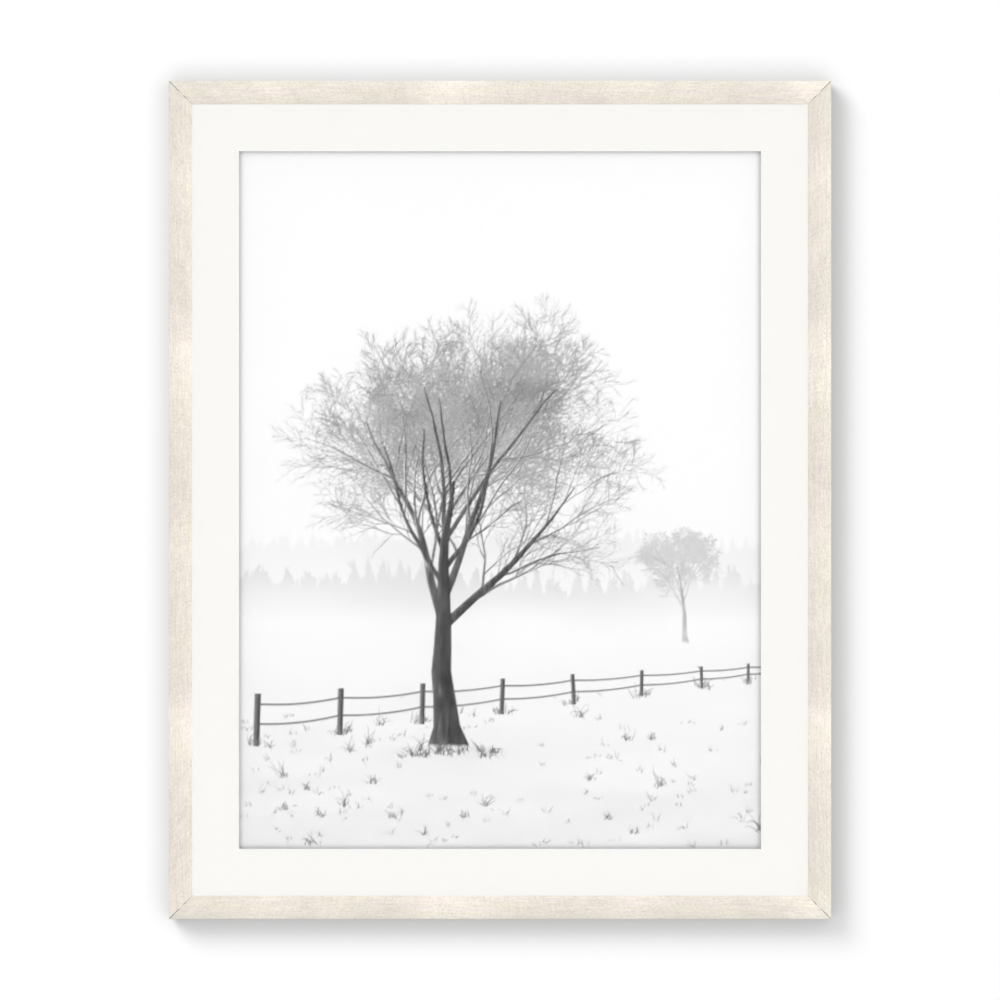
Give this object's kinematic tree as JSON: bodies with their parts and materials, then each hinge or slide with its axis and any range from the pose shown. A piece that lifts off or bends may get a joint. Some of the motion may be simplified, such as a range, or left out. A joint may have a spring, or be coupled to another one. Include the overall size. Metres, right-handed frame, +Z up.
{
  "type": "framed art print",
  "caption": "Portrait framed print for a wall: thin whitewashed wood frame with mitred corners, clear glazing, a wide off-white mat and a pale greyscale winter picture.",
  "frame": {"origin": "middle of the picture in the plane of the wall, which the bumpers' faces lie in", "axes": "+Z up the picture, +X to the picture's right as seen from the front, +Y out of its back towards the wall, so the picture faces -Y"},
  "size_m": [0.58, 0.032, 0.734],
  "materials": {
    "frame_wood": "satin whitewash with fine brush streaks along each rail",
    "clear_glazing": "clear, low reflection acrylic sheet",
    "mat_paper": "matte off-white mat board with a white core",
    "print_paper": "matte fine art paper, printed in grey tones",
    "foam_board": "white paper faced foam board",
    "kraft_paper": "brown kraft dust cover",
    "zinc_steel": "zinc plated steel",
    "point_steel": "plain steel",
    "clear_rubber": "translucent soft rubber"
  },
  "bodies": {
    "root": {"backing_board": "foam_board", "bumper_left": "clear_rubber", "bumper_right": "clear_rubber", "dust_cover": "kraft_paper", "glazing": "clear_glazing", "hanger_left": "zinc_steel", "hanger_right": "zinc_steel", "hanger_screw_1": "zinc_steel", "hanger_screw_2": "zinc_steel", "hanger_screw_3": "zinc_steel", "hanger_screw_4": "zinc_steel", "mat_board": "mat_paper", "mat_spacer": "foam_board", "point_bottom_1": "point_steel", "point_bottom_2": "point_steel", "point_left_1": "point_steel", "point_left_2": "point_steel", "point_right_1": "point_steel", "point_right_2": "point_steel", "point_top_1": "point_steel", "point_top_2": "point_steel", "print_sheet": "print_paper", "rail_bottom": "frame_wood", "rail_left": "frame_wood", "rail_right": "frame_wood", "rail_top": "frame_wood", "v_nail_1": "point_steel", "v_nail_2": "point_steel", "v_nail_3": "point_steel", "v_nail_4": "point_steel"}
  },
  "joints": []
}
